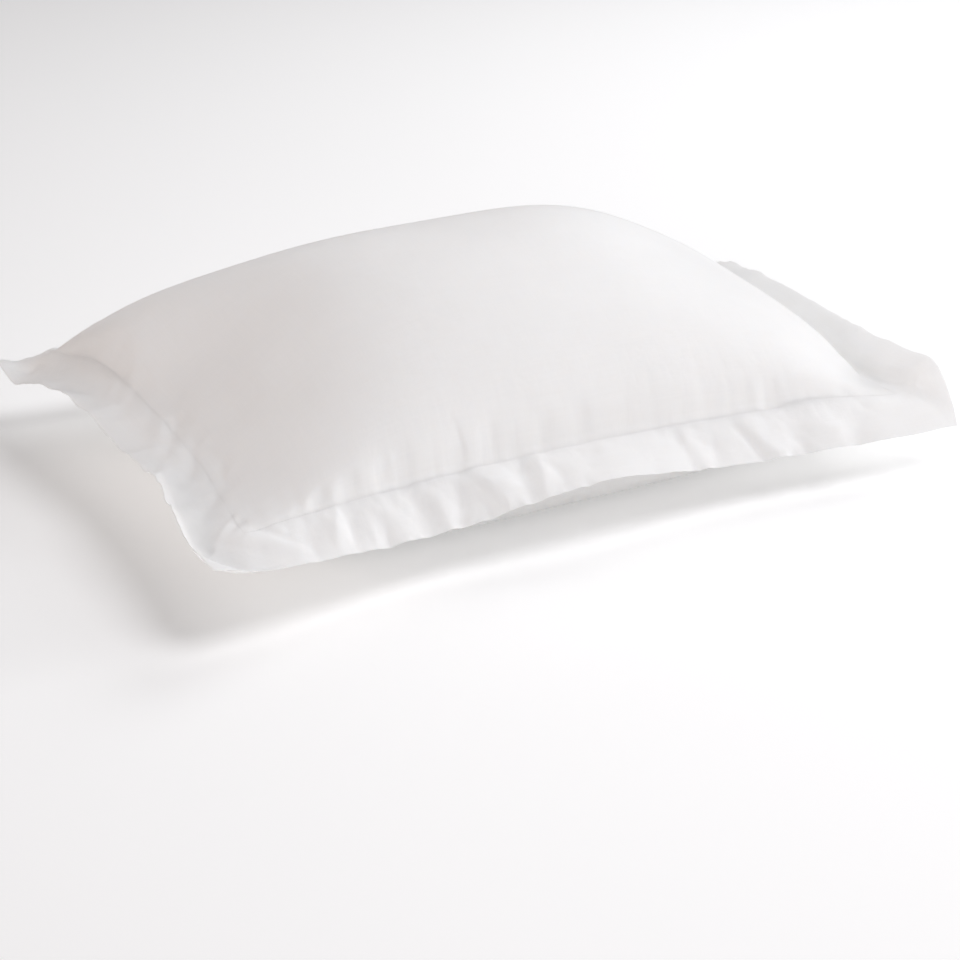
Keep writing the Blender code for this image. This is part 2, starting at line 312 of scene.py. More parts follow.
def layers(a, b):
    """The upper and the lower sheet of cloth over the flat map."""
    u, v = in_pocket(a, b)
    past_x = np.clip((np.abs(a) - HALF_LENGTH) / FLANGE_WIDTH, 0, 1)
    past_y = np.clip((np.abs(b) - HALF_WIDTH) / FLANGE_WIDTH, 0, 1)
    centre = middle(u, v)
    for side, place, past, here in (
        ("front", u, past_y, b < 0),
        ("back", u, past_y, b > 0),
        ("left", v, past_x, a < 0),
        ("right", v, past_x, a > 0),
    ):
        centre = centre + flange_reach(side, place, past * here)
    for name, lift in CORNER_LIFT.items():
        here = ((a > 0) == ("right" in name)) & ((b > 0) == ("back" in name))
        centre[..., 2] += lift * past_x * past_y * here
    for side, here in (("left", a < 0), ("right", a > 0)):
        depth = valley(side, v, past_x * here, past_y * (b < 0))
        centre -= depth[..., None] * VALLEY_WAY[side]
    centre -= (*CAD_CENTRE, 0)
    top, bottom = centre.copy(), centre.copy()
    top[..., 2] += crown(u, v)
    bottom[..., 2] *= pressed(u, v)
    return top, bottom


# ---------------------------------------------------------------- folds, listed one by one
FOLD_ROUND = 0.0009  # how round a fold's ridge is
FOLD_FOOT = 1.7  # where a fold's slopes reach the cloth, in widths
FOLD_FADE = 0.16  # how softly they reach it
FOLD_SEARCH = 4  # a fold changes nothing farther away than this, in widths
FOLD_PIECES = 6  # of a fold's path between two of its points
# Each fold follows points (a, b, height) on the flat map, all in millimetres: a runs along the
# pillowcase from its middle, b to the back, and height is above the cloth, below it if negative.
# The two widths are those of its slopes, left and right of its direction.
FLANGE_FOLDS = [
    # curled rim and facets of the front left corner
    (
        (
            (-375, -75, 0.0),
            (-376, -125, -7.5),
            (-377, -190, -11.0),
            (-375, -240, -11.0),
            (-354, -262, -8.5),
            (-318, -265, -4.5),
            (-280, -266, 0.0),
        ),
        24,
        6,
    ),
    (((-384, -114, 3.0), (-361, -72, 3.4), (-335, -57, 0.7)), 4, 14),
    (((-334, -68, -1.0), (-342, -90, -2.2), (-354, -108, -1.4)), 4, 5),
    (((-332, -144, -1.6), (-347, -156, -3.2), (-358, -172, -1.6)), 9, 8),
    (((-343, -199, 1.4), (-352, -210, 4.0), (-363, -224, 2.4)), 16, 4),
    (((-340, -226, 1.4), (-326, -238, 3.1), (-298, -255, 2.4)), 7, 7),
    (((-318, -229, -1.4), (-306, -240, -2.4), (-292, -251, -1.0)), 3, 5),
    (((-295, -236, 0.0), (-286, -252, -1.7), (-284, -270, -1.4)), 7, 9),
    # front flange, from left to right
    (((-249, -228, 1.5), (-258, -246, 3.0), (-266, -266, 2.1)), 9, 10),
    (((-243, -234, -1.2), (-243, -250, -2.7), (-248, -268, -2.4)), 6, 7),
    (((-226, -232, 0.6), (-224, -252, 2.1), (-228, -272, 1.8)), 8, 8),
    (((-214, -246, -0.6), (-213, -262, -2.1), (-213, -274, -3.9)), 4, 6),
    (((-207, -227, 1.2), (-203, -244, 2.7), (-196, -268, 1.5)), 8, 7),
    (((-180, -228, -0.6), (-172, -248, -1.8), (-168, -270, -1.5)), 12, 8),
    (((-150, -228, 0.9), (-154, -250, 2.4), (-160, -272, 1.8)), 12, 12),
    (((-126, -229, -1.2), (-131, -250, -3.0), (-140, -272, -3.9)), 5, 6),
    (((-113, -225, 1.8), (-105, -244, 5.1), (-93, -268, 4.2)), 15, 3.5),
    (((-106, -244, 1.5), (-84, -250, 3.9), (-57, -258, 1.8)), 13, 6),
    (((-121, -248, 0.0), (-114, -262, -1.8), (-110, -274, -3.6)), 4, 5),
    (((-94, -262, 0.0), (-90, -268, -2.1), (-88, -274, -3.9)), 4, 3),
    (((-63, -226, -1.5), (-64, -240, -3.0), (-67, -250, -0.9)), 4, 7),
    (((-47, -228, 1.5), (-53, -250, 3.9), (-61, -274, 3.0)), 6, 7),
    (((-40, -240, -1.2), (-36, -254, -3.0), (-40, -270, -2.1)), 9, 6),
    (((-20, -256, 0.0), (-19, -266, -1.2), (-18, -274, -2.7)), 5, 5),
    (((20, -228, 0.4), (14, -250, 1.5), (6, -272, 0.9)), 16, 14),
    (((70, -228, -0.4), (62, -250, -1.5), (56, -272, -1.8)), 18, 12),
    (((136, -230, -0.4), (128, -250, -2.4), (118, -274, -3.6)), 9, 15),
    (((156, -230, -0.3), (166, -249, -2.1), (178, -274, -2.7)), 5, 5),
    (((160, -228, 0.8), (173, -249, 4.2), (187, -274, 4.8)), 16, 4),
    (((180, -236, 0.9), (232, -250, 2.7), (304, -268, 0.9)), 12, 9),
    (((213, -246, 0.6), (222, -260, 2.1), (230, -274, 3.3)), 12, 4),
    (((206, -262, 0.0), (204, -268, -1.2), (203, -274, -2.7)), 4, 4),
    (((262, -234, -0.4), (266, -254, -1.4), (274, -274, -2.1)), 10, 8),
    # turned-down edge of the back left corner
    (
        (
            (-372, 272, 0.0),
            (-346, 270, -7.0),
            (-325, 264, -11.0),
            (-300, 262, -8.0),
            (-258, 262, 0.0),
        ),
        14,
        16,
    ),
    # left flange
    (((-336, -2, 0.8), (-345, -20, 2.1), (-352, -36, 1.1)), 6, 8),
    (((-338, -22, -1.1), (-350, -50, -2.2), (-366, -80, -1.7)), 5, 7),
    (((-341, 84, -1.1), (-347, 131, -3.1), (-347, 155, -2.5), (-342, 205, -1.1)), 7, 6),
    (((-346, 54, -0.8), (-362, 92, -2.5), (-380, 132, -3.4)), 12, 10),
    (((-352, 20, 0.6), (-368, 30, 2.0), (-384, 36, 3.1)), 14, 14),
    (((-356, 226, -1.4), (-363, 234, -4.2), (-372, 246, -2.8)), 6, 6),
    # valley and ridge along the right-hand flange
    (
        (
            (384, -262, 0.0),
            (366, -236, -4.5),
            (354, -190, -6.0),
            (351, -100, -5.0),
            (350, 60, 0.0),
        ),
        9,
        6,
    ),
    (
        (
            (364, -250, 0.0),
            (358, -200, 4.0),
            (356, -120, 7.0),
            (355, 40, 8.0),
            (356, 200, 5.0),
            (360, 262, 0.0),
        ),
        7,
        60,
    ),
    # right-hand flange, from front to back
    (((350, -176, -0.1), (368, -182, -0.5), (386, -190, -0.9)), 9, 6),
    (((348, -150, 0.1), (366, -146, 0.6), (386, -140, 0.9)), 9, 13),
    (((340, -66, 0.1), (360, -70, 0.6), (386, -64, 1.2)), 11, 14),
    (((340, 54, -0.4), (360, 58, -0.9), (386, 62, -1.3)), 11, 12),
    (((344, 134, 0.0), (362, 136, 0.7), (386, 138, 1.9)), 17, 19),
    (((342, 190, -0.2), (362, 194, -0.6), (386, 200, -0.9)), 9, 11),
    # back flange, from left to right
    (((-300, 230, -0.5), (-304, 250, -1.3), (-306, 274, -1.9)), 9, 10),
    (((-235, 228, 0.3), (-229, 250, 1.8), (-222, 274, 3.7)), 14, 16),
    (((-178, 228, 0.2), (-182, 250, -0.8), (-188, 274, -1.4)), 10, 8),
    (((-128, 226, -1.3), (-135, 250, -2.4), (-142, 274, -3.4)), 10, 13),
    (((-70, 228, 0.5), (-66, 250, 1.0), (-60, 274, 1.3)), 9, 8),
    (((20, 230, 0.0), (24, 250, 2.2), (28, 274, 4.5)), 20, 24),
    (((111, 226, -1.0), (120, 250, -2.1), (128, 274, -3.0)), 13, 10),
    (((176, 228, 0.5), (170, 250, 1.1), (166, 274, 1.0)), 8, 10),
    (((242, 228, 0.5), (237, 250, 1.9), (232, 274, 3.8)), 16, 19),
    (((302, 230, -0.3), (306, 250, -1.4), (312, 274, -2.1)), 10, 9),
]
CASE_FOLDS = [
    # dimples where the stitches of the front seam draw in the upper panel
    (((-345, -214, -1.4), (-336, -205, -1.8)), 5, 5),
    (((-266, -221, -1.8), (-258, -219, -2.6)), 5, 5),
    (((-236, -220, -1.2), (-229, -219, -1.6)), 5, 5),
    (((-203, -220, -1.6), (-196, -219, -1.8)), 5, 5),
    (((-180, -219, -1.2), (-174, -219, -1.2)), 6, 6),
    (((-96, -220, -2.0), (-88, -219, -2.4)), 5, 6),
    (((-37, -220, -1.6), (-31, -219, -1.8)), 5, 5),
    (((0, -220, -1.6), (6, -219, -1.6)), 5, 5),
    (((162, -220, -1.4), (178, -219, -1.2)), 4, 5),
    (((199, -220, -2.0), (207, -219, -2.0)), 4, 5),
    (((276, -221, -0.8), (282, -220, -0.8)), 4, 4),
    # creases and dimples of the left end
    (((-330, -10, -1.4), (-331, -22, -2.2)), 5, 6),
    (((-321, -108, -0.6), (-326, -122, -1.2), (-331, -138, -0.6)), 4, 6),
    (((-296, -20, 0.0), (-291, -56, -1.4), (-296, -104, 0.0)), 12, 14),
    (((-268, -8, 0.0), (-262, -50, 1.0), (-264, -110, 0.0)), 14, 16),
    (((-322, 196, 0.0), (-300, 150, -1.6), (-282, 96, 0.0)), 12, 14),
]


def fold_heights(a, b, folds):
    """Heights in metres that a list of folds gives at places on the flat map."""
    total = np.zeros_like(a)
    for path, left, right in folds:
        knots = np.array(path, float) / 1000
        widest = FOLD_SEARCH * max(left, right) / 1000
        low, high = knots[:, :2].min(0) - widest, knots[:, :2].max(0) + widest
        near = (a > low[0]) & (a < high[0]) & (b > low[1]) & (b < high[1])
        x, y = a[near], b[near]
        t = np.linspace(-1, 1, FOLD_PIECES * (len(knots) - 1) + 1)
        curve = np.stack([through(t, knots[:, axis]) for axis in range(3)], -1)
        closest = np.full(x.shape, np.inf)
        aside, height = np.zeros_like(x), np.zeros_like(x)
        for start, end in zip(curve[:-1], curve[1:]):
            along = end[:2] - start[:2]
            length = math.hypot(*along)
            share = ((x - start[0]) * along[0] + (y - start[1]) * along[1]) / length**2
            inside = np.clip(share, 0, 1)
            dx = x - start[0] - inside * along[0]
            dy = y - start[1] - inside * along[1]
            far = np.hypot(dx, dy)
            nearer = far < closest
            side = along[0] * dy - along[1] * dx
            closest = np.where(nearer, far, closest)
            aside = np.where(nearer, np.sign(side) * far, aside)
            height = np.where(nearer, start[2] + (end[2] - start[2]) * inside, height)
        width = FOLD_FOOT * np.where(aside > 0, left, right) / 1000
        slope = 1 - (np.hypot(aside, FOLD_ROUND) - FOLD_ROUND) / width
        softened = slope + np.hypot(slope, FOLD_FADE)
        total[near] += height * softened / (1 + math.hypot(1, FOLD_FADE))
    return total


def noise_line(seed, spacing, length):
    """A smooth random curve over a distance: values about 0, one knot for each spacing."""
    count = int(length / spacing) + 2 * NOISE_MARGIN + 2
    knots = np.random.default_rng(seed).normal(size=count)

    def value(s):
        at = np.clip(s / spacing + NOISE_MARGIN, 0, count - 2.001)
        cell = at.astype(int)
        t = ease(at - cell)
        return knots[cell] * (1 - t) + knots[cell + 1] * t

    return value


def seam_puckers(a, b):
    """Small gathers that cross the stitch line all round."""
    outward, inward = PUCKER_REACH
    flattened, near = PUCKER_HOLD
    beyond, fade = PUCKER_END
    sides = (
        (a, -b, HALF_LENGTH, HALF_WIDTH),
        (a, b, HALF_LENGTH, HALF_WIDTH),
        (b, -a, HALF_WIDTH, HALF_LENGTH),
        (b, a, HALF_WIDTH, HALF_LENGTH),
    )
    total = np.zeros_like(a)
    for number, (along, across, half, other) in enumerate(sides):
        height = 0
        for seed, spacing, high in PUCKERS:
            height = height + high * noise_line(seed + number, spacing, 2 * half)(along + half)
        out = across - other
        reach = np.where(out > 0, np.exp(-out / outward), np.exp(out / inward))
        held = 1 - flattened * np.exp(-((out / near) ** 2))
        inside = np.clip((half + beyond - np.abs(along)) / fade, 0, 1)
        total += height * reach * held * inside
    return total


def between(grid, from_a, from_b, to_a, to_b):
    """A coarse grid's values at the lines of a finer one, on smooth curves."""
    for axis, (old, new) in enumerate(((from_a, to_a), (from_b, to_b))):
        at = np.interp(new, old, np.arange(len(old)))
        cell = np.clip(at.astype(int), 1, len(old) - 3)
        t = (at - cell).reshape([-1 if number == axis else 1 for number in range(3)])
        p, q, r, s = (np.take(grid, cell + step, axis) for step in (-1, 0, 1, 2))
        grid = q + t / 2 * (r - p + t * (2 * p - 5 * q + 4 * r - s + t * (3 * (q - r) + s - p)))
    return grid


def grid_cells(index):
    """The four points of each cell of a grid, from its points' numbers."""
    cells = np.stack([index[:-1, :-1], index[1:, :-1], index[1:, 1:], index[:-1, 1:]], -1)
    return cells.reshape(-1, 4)


def simulated(start, hold, spare):
    """How far Blender's cloth moves a grid of points when it has spare length.

    hold says how firmly the filling or the seam keeps each point at its place.
    """
    cells = grid_cells(np.arange(hold.size).reshape(hold.shape))
    sheet = make_object("wrinkling", start.reshape(-1, 3), cells.tolist())
    most = spare.max()
    for name, weights in (("hold", hold), ("tight", 1 - spare / most)):
        group = sheet.vertex_groups.new(name=name)
        for number, weight in enumerate(weights.reshape(-1).tolist()):
            group.add([number], weight, "REPLACE")
    cloth = sheet.modifiers.new("cloth", "CLOTH")
    settings = cloth.settings
    settings.quality = 6
    settings.tension_stiffness = settings.compression_stiffness = 28
    settings.shear_stiffness = 9
    settings.bending_stiffness = 3
    settings.vertex_group_mass = "hold"
    settings.pin_stiffness = 0.2
    settings.vertex_group_shrink = "tight"
    settings.shrink_min, settings.shrink_max = -most, 0
    settings.effector_weights.gravity = 0
    cloth.point_cache.frame_start, cloth.point_cache.frame_end = 1, CLOTH_FRAMES
    for frame in range(1, CLOTH_FRAMES + 1):
        bpy.context.scene.frame_set(frame)
    done = sheet.evaluated_get(bpy.context.evaluated_depsgraph_get())
    points = np.empty(start.size, np.float32)
    done.data.vertices.foreach_get("co", points)
    bpy.context.scene.frame_set(1)
    mesh = sheet.data
    bpy.data.objects.remove(sheet)
    bpy.data.meshes.remove(mesh)
    move = points.reshape(start.shape).astype(float) - start
    far = np.linalg.norm(move, axis=-1, keepdims=True)
    return move * np.minimum(1, CLOTH_CAP / np.maximum(far, 1e-9))


def wrinkles(fine_a, fine_b):
    """Moves of the upper sheet from a cloth simulation, as the cloth is longer than its seams."""
    sides = []
    for half, cells in zip((HALF_LENGTH, HALF_WIDTH), CLOTH_CELLS):
        pocket = np.linspace(-half, half, cells + 1)
        sides.append(with_flange(pocket, half, CLOTH_FLANGE_CELLS))
    a, b = np.meshgrid(*sides, indexing="ij")
    start = relaxed_flange(a, b, layers(a, b)[0], EVEN_ROUNDS[0])
    seed, unevenness = CLOTH_START
    start += unevenness * np.random.default_rng(seed).normal(size=start.shape)
    out = outside(a, b)
    least, filled, depth, stitched, near = CLOTH_HOLD
    hold = least * (1 + filled * ease(-out / depth) + stitched * np.exp(-((out / near) ** 2)))
    spare, total = 0, 0
    for side, away in (
        ("front", b + HALF_WIDTH),
        ("back", HALF_WIDTH - b),
        ("left", a + HALF_LENGTH),
        ("right", HALF_LENGTH - a),
    ):
        share, (most, reach) = np.exp(-away / SPARE_MIX), CLOTH_SPARE[side]
        spare = spare + share * most * ease(1 + out / reach)
        total = total + share
    move = simulated(start, hold, spare / total)
    return between(move, *sides, fine_a, fine_b)


def relaxed(points, free, rounds):
    """The grid of points evened out towards their neighbours where free is above 0."""
    for _ in range(rounds):
        padded = np.pad(points, ((1, 1), (1, 1), (0, 0)), mode="reflect", reflect_type="odd")
        mean = padded[:-2, 1:-1] + padded[2:, 1:-1] + padded[1:-1, :-2] + padded[1:-1, 2:]
        points = points + free[..., None] * 0.5 * (mean / 4 - points)
    return points


def slack_seams(a, b):
    """1 along the seams where slack cloth runs smoothly from the pocket into the flange."""
    u, v = in_pocket(a, b)
    slack = np.zeros_like(a)
    for side, away, place in (
        ("left", a + HALF_LENGTH, v),
        ("front", b + HALF_WIDTH, u),
        ("right", a - HALF_LENGTH, v),
    ):
        near, start, length = SLACK_SEAMS[side]
        here = np.exp(-((away / near) ** 2)) * ease((place - start) / length)
        slack = np.maximum(slack, here)
    return slack


def relaxed_flange(a, b, points, rounds):
    """The sheet with the flange's slopes evened out."""
    free = np.maximum(ease(outside(a, b) / EVEN_REACH), slack_seams(a, b))
    return relaxed(points, free, rounds)


def unit(vectors):
    """The vectors with length 1."""
    return vectors / np.linalg.norm(vectors, axis=-1, keepdims=True)


def unit_normals(points):
    """Upward normals of a grid of points."""
    return unit(np.cross(np.gradient(points, axis=0), np.gradient(points, axis=1)))


def flange_normals(points, out):
    """Upward normals of the flange; its slope at the stitch line goes on inside the pocket."""
    normals = unit_normals(points)
    count_a, count_b = out.shape
    i, j = np.meshgrid(np.arange(count_a), np.arange(count_b), indexing="ij")
    near_i = np.where(i < count_a / 2, FLANGE_LINES - 1, count_a - FLANGE_LINES)
    near_j = np.where(j < count_b / 2, FLANGE_LINES - 1, count_b - FLANGE_LINES)
    to_side = np.minimum(i, count_a - 1 - i) <= np.minimum(j, count_b - 1 - j)
    inside = out < ON_SEAM
    i, j = np.where(inside & to_side, near_i, i), np.where(inside & ~to_side, near_j, j)
    return normals[i, j]


def cloth_skin():
    """Points of the upper and lower sheet and of the outer edge, on the lines of the flat map."""
    lines_a = lines(HALF_LENGTH, ALONG_PITCH, FLANGE_LINES)
    lines_b = lines(HALF_WIDTH, ACROSS_PITCH, FLANGE_LINES)
    a, b = np.meshgrid(lines_a, lines_b, indexing="ij")
    top, bottom = layers(a, b)
    out = outside(a, b)
    shift = relaxed_flange(a, b, top, EVEN_ROUNDS[1]) - top
    top, bottom = top + shift, bottom + shift
    shared = np.clip(1 + out / SHARED_REACH, 0, 1)
    flat = shared[..., None]
    straight = flange_normals((top + bottom) / 2, out)
    shoulder = (out < -ON_SEAM) * np.exp(-((out / SHOULDER_REACH) ** 2))
    top = relaxed(top, shoulder, SHOULDER_ROUNDS)
    top_normal = unit(flat * straight + (1 - flat) * unit_normals(top))
    bottom_normal = unit(flat * straight + (1 - flat) * unit_normals(bottom))

    flattened, near = SEAM_HOLD
    held = 1 - flattened * np.exp(-((out / near) ** 2))
    wrinkled = (wrinkles(lines_a, lines_b) * top_normal).sum(-1) * held
    case, inner = fold_heights(a, b, CASE_FOLDS), ease(-out / CREASE_REACH)
    height = fold_heights(a, b, FLANGE_FOLDS) + seam_puckers(a, b)
    height = height + wrinkled * shared + case * (1 - inner)
    panel = wrinkled * (1 - shared) + case * inner

    at_stitches, opening = LAYER_PARTS
    end, closing = LAYERS_CLOSE
    opened = np.clip(out / LAYERS_OPEN, 0, 1)
    apart = LAYER_GAP * (at_stitches + opening * opened * np.clip((end - out) / closing, 0, 1))
    free = np.clip(bottom[..., 2] / UNDERSIDE_FREE, 0, 1)
    top = top + top_normal * (height + panel + apart)[..., None]
    bottom = bottom + bottom_normal * ((height - apart) * free)[..., None]
    return a, b, top, bottom


def rim(grid):
    """The outermost line of a grid, once round."""
    return np.concatenate([grid[:-1, 0], grid[-1, :-1], grid[:0:-1, -1], grid[0, :0:-1]])


def make_object(name, points, faces, material=None, smooth=True):
    """A mesh object in the scene."""
    mesh = bpy.data.meshes.new(name)
    mesh.from_pydata([tuple(point) for point in points], [], faces)
    mesh.polygons.foreach_set("use_smooth", [smooth] * len(mesh.polygons))
    if material:
        mesh.materials.append(material)
    mesh.update()
    made = bpy.data.objects.new(name, mesh)
    bpy.context.scene.collection.objects.link(made)
    return made


def build_pillowcase(material):
    """The closed cloth: both sheets and the turned edge that joins them."""
    a, b, top, bottom = cloth_skin()
    edge = rim((top + bottom) / 2)
    in_a, in_b = np.clip(a, -HALF_LENGTH, HALF_LENGTH), np.clip(b, -HALF_WIDTH, HALF_WIDTH)
    edge[:, :2] += EDGE_OUT * unit(rim(np.stack([a, b], -1)) - rim(np.stack([in_a, in_b], -1)))
    count = a.size
    index = np.arange(count).reshape(a.shape)
    cells = grid_cells(index)
    top_rim = rim(index)
    edge_rim = 2 * count + np.arange(len(top_rim))
    around, edge_next = np.roll(top_rim, -1), np.roll(edge_rim, -1)
    faces = np.concatenate(
        [
            cells,
            cells[:, ::-1] + count,
            np.stack([top_rim, edge_rim, edge_next, around], -1),
            np.stack([edge_rim, top_rim + count, around + count, edge_next], -1),
        ]
    )
    points = np.concatenate([top.reshape(-1, 3), bottom.reshape(-1, 3), edge])
    made = make_object("pillowcase", points, faces.tolist(), material)
    upper = np.stack([a * CLOTH_OVER_MAP[0], b * CLOTH_OVER_MAP[1], 0 * a], -1)
    places = upper.reshape(-1, 3)
    flat = np.concatenate([places, places + LOWER_CLOTH, rim(upper)])
    attribute = made.data.attributes.new("flat_cloth", "FLOAT_VECTOR", "POINT")
    attribute.data.foreach_set("vector", flat.reshape(-1))
    return made, a, b, top, bottom


def build_stitching(a, b, top, bottom, material):
    """The stitches that set the flange off from the pocket, on both faces of the cloth."""
    pitch, length, radius = STITCH
    end_a, end_b = HALF_LENGTH + STITCH_PLACE, HALF_WIDTH + STITCH_PLACE
    corners = [(-end_a, -end_b), (end_a, -end_b), (end_a, end_b), (-end_a, end_b)]

    def place_in(known, wanted):
        at = np.interp(wanted, known, np.arange(len(known)))
        cell = np.minimum(at.astype(int), len(known) - 2)
        return cell, (at - cell)[:, None]

    def on_cloth(sheet, x, y):
        (i, s), (j, t) = place_in(a[:, 0], x), place_in(b[0], y)
        near = sheet[i, j] * (1 - s) + sheet[i + 1, j] * s
        far = sheet[i, j + 1] * (1 - s) + sheet[i + 1, j + 1] * s
        return near * (1 - t) + t * far

    rings, thick = np.array(STITCH_RINGS).T
    thick = radius * thick
    rise, dive = STITCH_ARCH
    sides = STITCH_SIDES
    around = 2 * np.pi * np.arange(sides) / sides
    points, faces = [], []
    for sheet, up in ((top, 1), (bottom, -1)):
        normals = unit_normals(sheet) * up
        for (x0, y0), (x1, y1) in zip(corners, corners[1:] + corners[:1]):
            span = math.hypot(x1 - x0, y1 - y0)
            middles = (np.arange(int(span / pitch)) + 0.5) * pitch
            for centre in middles:
                share = (centre + rings * length / 2) / span
                x, y = x0 + share * (x1 - x0), y0 + share * (y1 - y0)
                path, normal = on_cloth(sheet, x, y), on_cloth(normals, x, y)
                path = path + normal * (radius * (rise - dive * np.abs(rings) ** 3))[:, None]
                along = path[-1] - path[0]
                beside = np.cross(normal, along / np.linalg.norm(along))
                first = len(points)
                for p, n, w, r in zip(path, normal, beside, thick):
                    points.extend(p + r * (math.cos(t) * w + math.sin(t) * n) for t in around)
                for ring in range(len(rings) - 1):
                    for k in range(sides):
                        low, nxt = first + ring * sides + k, first + ring * sides + (k + 1) % sides
                        faces.append((low, nxt, nxt + sides, low + sides))
                faces.append(tuple(first + k for k in range(sides))[::-1])
                faces.append(tuple(first + (len(rings) - 1) * sides + k for k in range(sides)))
    return make_object("stitching", np.array(points), faces, material)


# ---------------------------------------------------------------- materials, lengths in metres
COTTON_WHITE = (0.90, 0.895, 0.885)
YARN_PITCH = 0.00034  # of the weave
# Thicker and thinner yarns: their size along and across, for the warp and for the weft.
YARN_STRETCHES = ((0.06, 0.0011), (0.0011, 0.05))
SHADE_SCALE = 9.0
CREASE_SCALE = 46.0
THREAD_DARK = (0.84, 0.835, 0.825, 1)
THREAD_LIGHT = (0.93, 0.925, 0.915, 1)
THREAD_PLY_SCALE = 2600
FLOOR_COLOUR = (0.90, 0.90, 0.90, 1)
FLOOR_GLOW = 0.20


class Look:
    """A material that is put together from nodes around its one shader."""

    def __init__(self, name):
        self.material = bpy.data.materials.new(name)
        self.material.use_nodes = True
        self.tree = self.material.node_tree
        self.shader = self.tree.nodes["Principled BSDF"]

    def fill(self, node, inputs):
        """Set a node's inputs, or link them where a value is another node's output."""
        for socket, value in inputs.items():
            if isinstance(value, bpy.types.NodeSocket):
                self.tree.links.new(value, node.inputs[socket])
            else:
                node.inputs[socket].default_value = value

    def node(self, kind, inputs, **settings):
        made = self.tree.nodes.new("ShaderNode" + kind)
        for key, value in settings.items():
            setattr(made, key, value)
        self.fill(made, inputs)
        return made

    def math(self, operation, first, second=0.0):
        return self.node("Math", {0: first, 1: second}, operation=operation).outputs[0]

    def noise(self, place, scale, detail=2.0, rough=0.5):
        inputs = {"Vector": place, "Scale": scale, "Detail": detail, "Roughness": rough}
        return self.node("TexNoise", inputs).outputs["Fac"]

    def ranged(self, value, low, high, from_low=0.0, from_high=1.0):
        inputs = {"Value": value, "From Min": from_low, "From Max": from_high}
        return self.node("MapRange", {**inputs, "To Min": low, "To Max": high}).outputs["Result"]

    def bump(self, height, strength, distance, under=None):
        """Normals of a relief, which may lie on top of another relief's."""
        inputs = {"Strength": strength, "Distance": distance, "Height": height}
        if under is not None:
            inputs["Normal"] = under
        return self.node("Bump", inputs).outputs[0]


def cotton():
    """White percale: matt, softly sheened, with a plain weave, uneven yarn and pressed creases."""
    look = Look("white_percale")
    flat = look.node("Attribute", {}, attribute_name="flat_cloth").outputs["Vector"]
    across = look.node("SeparateXYZ", {0: flat}).outputs
    # Yarns run both ways and go over and under each other.
    over = []
    for axis in (0, 1):
        over.append(look.math("SINE", look.math("MULTIPLY", across[axis], math.pi / YARN_PITCH)))
    weave = look.math("MULTIPLY", *over)
    # Thicker and thinner yarns: noise drawn out along the warp and along the weft.
    yarns = []
    for along, beside in YARN_STRETCHES:
        inputs = {0: flat, 1: (1 / along, 1 / beside, 1)}
        stretched = look.node("VectorMath", inputs, operation="MULTIPLY").outputs[0]
        yarns.append(look.noise(stretched, 1.0, 1.0))
    slubs = look.math("ADD", *yarns)
    broad = look.noise(flat, SHADE_SCALE, 3.0, 0.55)
    creases = look.noise(flat, CREASE_SCALE, 3.0, 0.6)

    uneven = look.ranged(slubs, -0.009, 0.009, 0.7, 1.3)
    shade = look.math("ADD", uneven, look.ranged(broad, -0.016, 0.010, 0.3, 0.7))
    shade = look.math("ADD", shade, look.ranged(weave, -0.010, 0.006, -1.0, 1.0))
    inputs = {0: COTTON_WHITE, "Scale": look.math("ADD", shade, 1.0)}
    tinted = look.node("VectorMath", inputs, operation="SCALE").outputs[0]
    relief = look.bump(creases, 0.55, 0.0010)
    relief = look.bump(slubs, 0.4, 0.00008, relief)
    relief = look.bump(weave, 0.5, 0.00006, relief)
    surface = {
        "Base Color": tinted,
        "Roughness": look.ranged(broad, 0.80, 0.92, 0.3, 0.7),
        "Normal": relief,
        "Sheen Weight": 0.25,
        "Sheen Roughness": 0.45,
        "Subsurface Weight": 0.6,
        "Subsurface Radius": (1.0, 0.95, 0.9),
        "Subsurface Scale": 0.004,
    }
    look.fill(look.shader, surface)
    return look.material


def sewing_thread():
    """White thread, a little smoother and brighter than the cloth."""
    look = Look("white_thread")
    place = look.node("TexCoord", {}).outputs["Object"]
    ply = look.noise(place, THREAD_PLY_SCALE)
    tone = look.node("ValToRGB", {0: ply})
    tone.color_ramp.elements[0].color = THREAD_DARK
    tone.color_ramp.elements[1].color = THREAD_LIGHT
    surface = {
        "Base Color": tone.outputs[0],
        "Roughness": look.ranged(ply, 0.55, 0.75),
        "Normal": look.bump(ply, 0.4, 0.0001),
        "Sheen Weight": 0.2,
    }
    look.fill(look.shader, surface)
    return look.material


def pale_floor():
    """An even, nearly white floor that glows a little."""
    look = Look("pale_floor")
    surface = {
        "Base Color": FLOOR_COLOUR,
        "Roughness": 0.9,
        "Emission Color": (1, 1, 1, 1),
        "Emission Strength": FLOOR_GLOW,
    }
    look.fill(look.shader, surface)
    return look.material


# ---------------------------------------------------------------- stage, light and camera
FLOOR_HALF = 30
CAMERA_AZIMUTH = -29.61
CAMERA_ELEVATION = 23.38
CAMERA_DISTANCE = 2.3736
CAMERA_TARGET = (-0.1105, -0.1994, 0.066)
CAMERA_LENS = 102.5
CAMERA_SENSOR = 36
CAMERA_REACH = 100
LIGHT_TARGET = (0, 0, 0.08)
LIGHTS = {
    # azimuth, elevation, distance, size, watts, colour
    "key": (30, 62, 2.6, 1.6, 35.2, (0.98, 0.978, 1.0)),
    "right": (75, 12, 8.0, 3.2, 222, (0.981, 0.983, 1.0)),
    "back": (120, 38, 2.6, 1.6, 21.2, (0.959, 0.978, 1.0)),
    "left": (-105, 12, 8.0, 3.2, 101, (1.0, 0.84, 0.74)),
    "front": (-60, 12, 8.0, 3.2, 142, (1.0, 0.936, 0.926)),
}
WORLD_COLOUR = (1.0, 0.94, 0.94)
WORLD_STRENGTH = 0.135


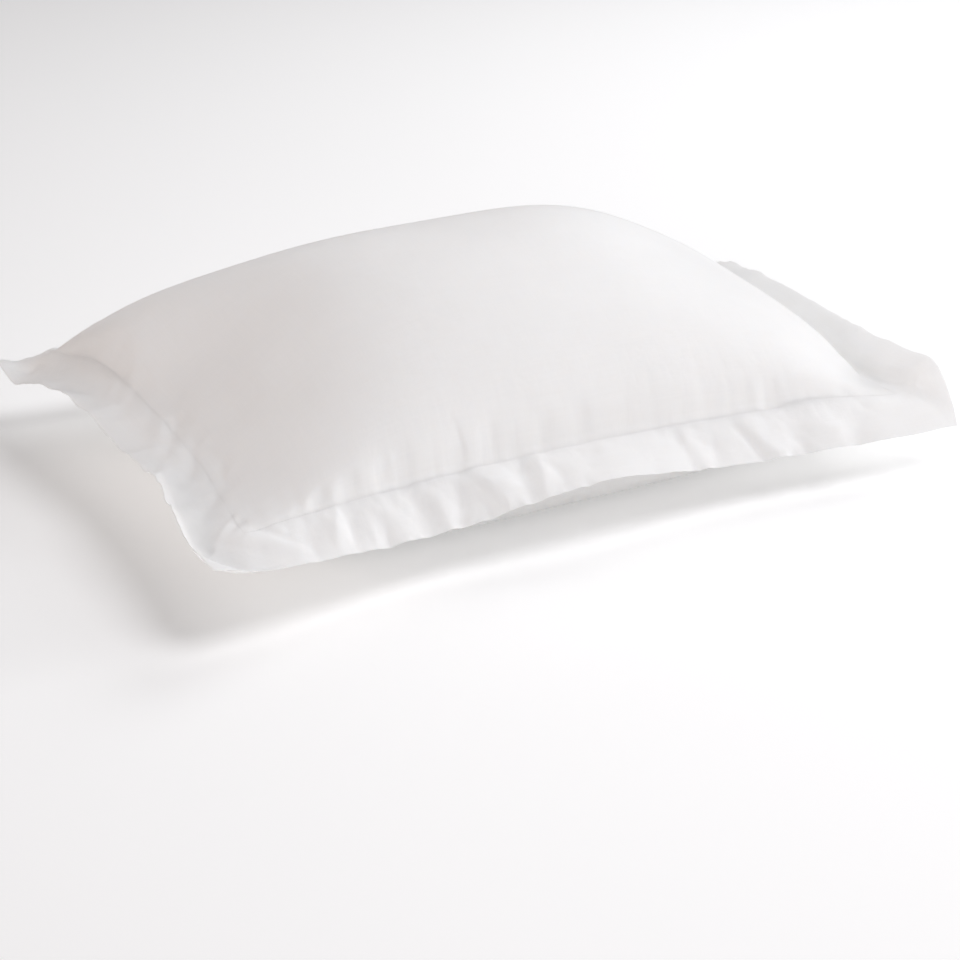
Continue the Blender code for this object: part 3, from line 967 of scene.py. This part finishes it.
def build_floor():
    """The level floor that the pillowcase lies on."""
    signs = ((-1, -1), (1, -1), (1, 1), (-1, 1))
    corners = [(FLOOR_HALF * x, FLOOR_HALF * y, 0) for x, y in signs]
    floor = make_object("floor", corners, [(0, 1, 2, 3)], pale_floor(), smooth=False)


def way_to(azimuth, elevation):
    """The direction of a viewer or light at these angles; azimuth 0 is the front, 90 the right."""
    azimuth, elevation = math.radians(azimuth), math.radians(elevation)
    level = math.cos(elevation)
    return Vector((math.sin(azimuth) * level, -math.cos(azimuth) * level, math.sin(elevation)))


def build_camera():
    """The camera, at the photo's angle."""
    back = way_to(CAMERA_AZIMUTH, CAMERA_ELEVATION)
    camera = bpy.data.objects.new("camera", bpy.data.cameras.new("camera"))
    camera.data.lens = CAMERA_LENS
    camera.data.sensor_width = CAMERA_SENSOR
    camera.data.clip_end = CAMERA_REACH
    camera.location = Vector(CAMERA_TARGET) + back * CAMERA_DISTANCE
    camera.rotation_mode = "QUATERNION"
    camera.rotation_quaternion = (-back).to_track_quat("-Z", "Y")
    bpy.context.scene.collection.objects.link(camera)
    bpy.context.scene.camera = camera


def build_lights():
    """Round lights that face the pillowcase, and an even light from all round."""
    target = Vector(LIGHT_TARGET)
    for name, (azimuth, elevation, distance, size, watts, colour) in LIGHTS.items():
        data = bpy.data.lights.new(name, "AREA")
        data.shape, data.size, data.energy, data.color = "DISK", size, watts, colour
        light = bpy.data.objects.new(name, data)
        light.location = way_to(azimuth, elevation) * distance + target
        light.rotation_mode = "QUATERNION"
        light.rotation_quaternion = (light.location - target).to_track_quat("Z", "Y")
        bpy.context.scene.collection.objects.link(light)
    world = bpy.data.worlds.new("studio")
    bpy.context.scene.world = world
    world.use_nodes = True
    background = world.node_tree.nodes["Background"]
    background.inputs["Color"].default_value = (*WORLD_COLOUR, 1)
    background.inputs["Strength"].default_value = WORLD_STRENGTH


def main():
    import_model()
    bpy.context.scene.view_settings.view_transform = "Standard"
    cloth, *sheets = build_pillowcase(cotton())
    stitches = build_stitching(*sheets, sewing_thread())
    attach(cloth, "root")
    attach(stitches, "root")
    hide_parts("filled_case", "flange")
    build_floor()
    build_lights()
    build_camera()


main()
